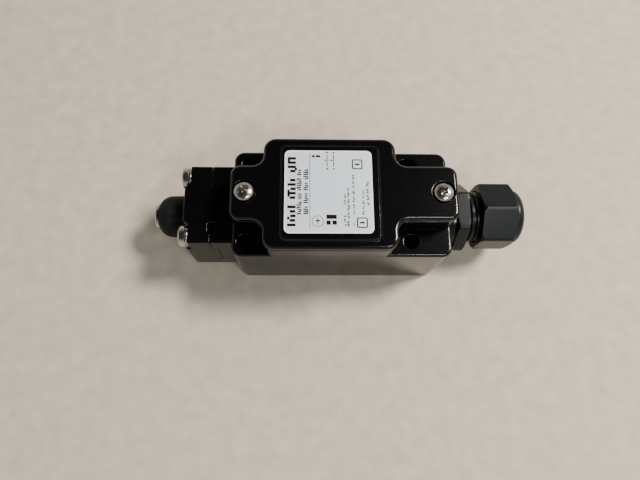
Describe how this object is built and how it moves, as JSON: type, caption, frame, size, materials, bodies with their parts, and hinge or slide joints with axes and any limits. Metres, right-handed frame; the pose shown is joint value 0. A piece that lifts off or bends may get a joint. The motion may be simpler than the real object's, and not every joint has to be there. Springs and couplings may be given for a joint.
{
  "type": "limit switch",
  "caption": "Heavy-duty limit switch: a sprung steel plunger under a rubber boot works contacts in a sealed metal housing with a cable gland.",
  "frame": {"origin": "centre of the four mounting holes on the rear mounting face", "axes": "+X from the plunger to the cable gland, +Y across the housing, +Z from the mounting face to the cover"},
  "size_m": [0.1453, 0.0416, 0.0456],
  "materials": {
    "black_enamel": "glossy baked enamel",
    "gland_nylon": "satin moulded nylon",
    "boot_rubber": "matte",
    "seal_rubber": "matte",
    "stainless": "turned and polished",
    "zinc_plated": "bright zinc",
    "spring_steel": "drawn wire",
    "bronze": "sintered",
    "contact_brass": "stamped",
    "dark_moulding": "moulded",
    "cream_moulding": "moulded",
    "label_foil": "satin silver-grey foil"
  },
  "bodies": {
    "base": {"housing": "black_enamel", "head": "black_enamel", "cover": "black_enamel", "gland_body": "gland_nylon", "gland_fingers": "gland_nylon", "boot": "boot_rubber", "head_seal": "seal_rubber", "cover_gasket": "seal_rubber", "gland_washer": "seal_rubber", "gland_seal": "seal_rubber", "cover_screws": "stainless", "head_screws": "stainless", "head_washers": "stainless", "block_screws": "zinc_plated", "terminal_screws": "zinc_plated", "terminal_clamps": "zinc_plated", "ground_screw": "zinc_plated", "plunger_spring": "spring_steel", "carrier_spring": "spring_steel", "bushing": "bronze", "terminal_plates": "contact_brass", "ground_clamp": "contact_brass", "block_base": "dark_moulding", "block_lid": "cream_moulding", "label": "label_foil"},
    "plunger": {"plunger": "stainless", "plunger_clip": "stainless"},
    "carrier": {"carrier": "cream_moulding", "bridge_closed": "contact_brass", "bridge_open": "contact_brass", "contact_springs": "spring_steel"},
    "slip_ring": {"gland_slip_ring": "gland_nylon"},
    "nut": {"gland_nut": "gland_nylon"}
  },
  "joints": [
    {"name": "plunger_press", "type": "slide", "parent": "base", "child": "plunger", "axis": [1, 0, 0], "range_m": [0, 0.0055], "stiffness_N_per_m": 1500, "springref_m": -0.004, "deforming": ["boot", "plunger_spring"]},
    {"name": "carrier_travel", "type": "slide", "parent": "base", "child": "carrier", "axis": [1, 0, 0], "range_m": [0, 0.0055], "stiffness_N_per_m": 600, "springref_m": -0.004, "deforming": ["carrier_spring"]},
    {"name": "gland_nut_advance", "type": "slide", "parent": "base", "child": "slip_ring", "axis": [-1, 0, 0], "range_m": [0, 0.0041]},
    {"name": "gland_nut_turn", "type": "hinge", "parent": "slip_ring", "child": "nut", "pos_m": [0.068, 0, 0.0172], "axis": [-1, 0, 0], "range_deg": [0, 720]}
  ],
  "couplings": [
    {"joint": "carrier_travel", "follows": "plunger_press", "ratio": 1},
    {"joint": "gland_nut_advance", "follows": "gland_nut_turn", "m_per_rad": 0.00031831}
  ]
}
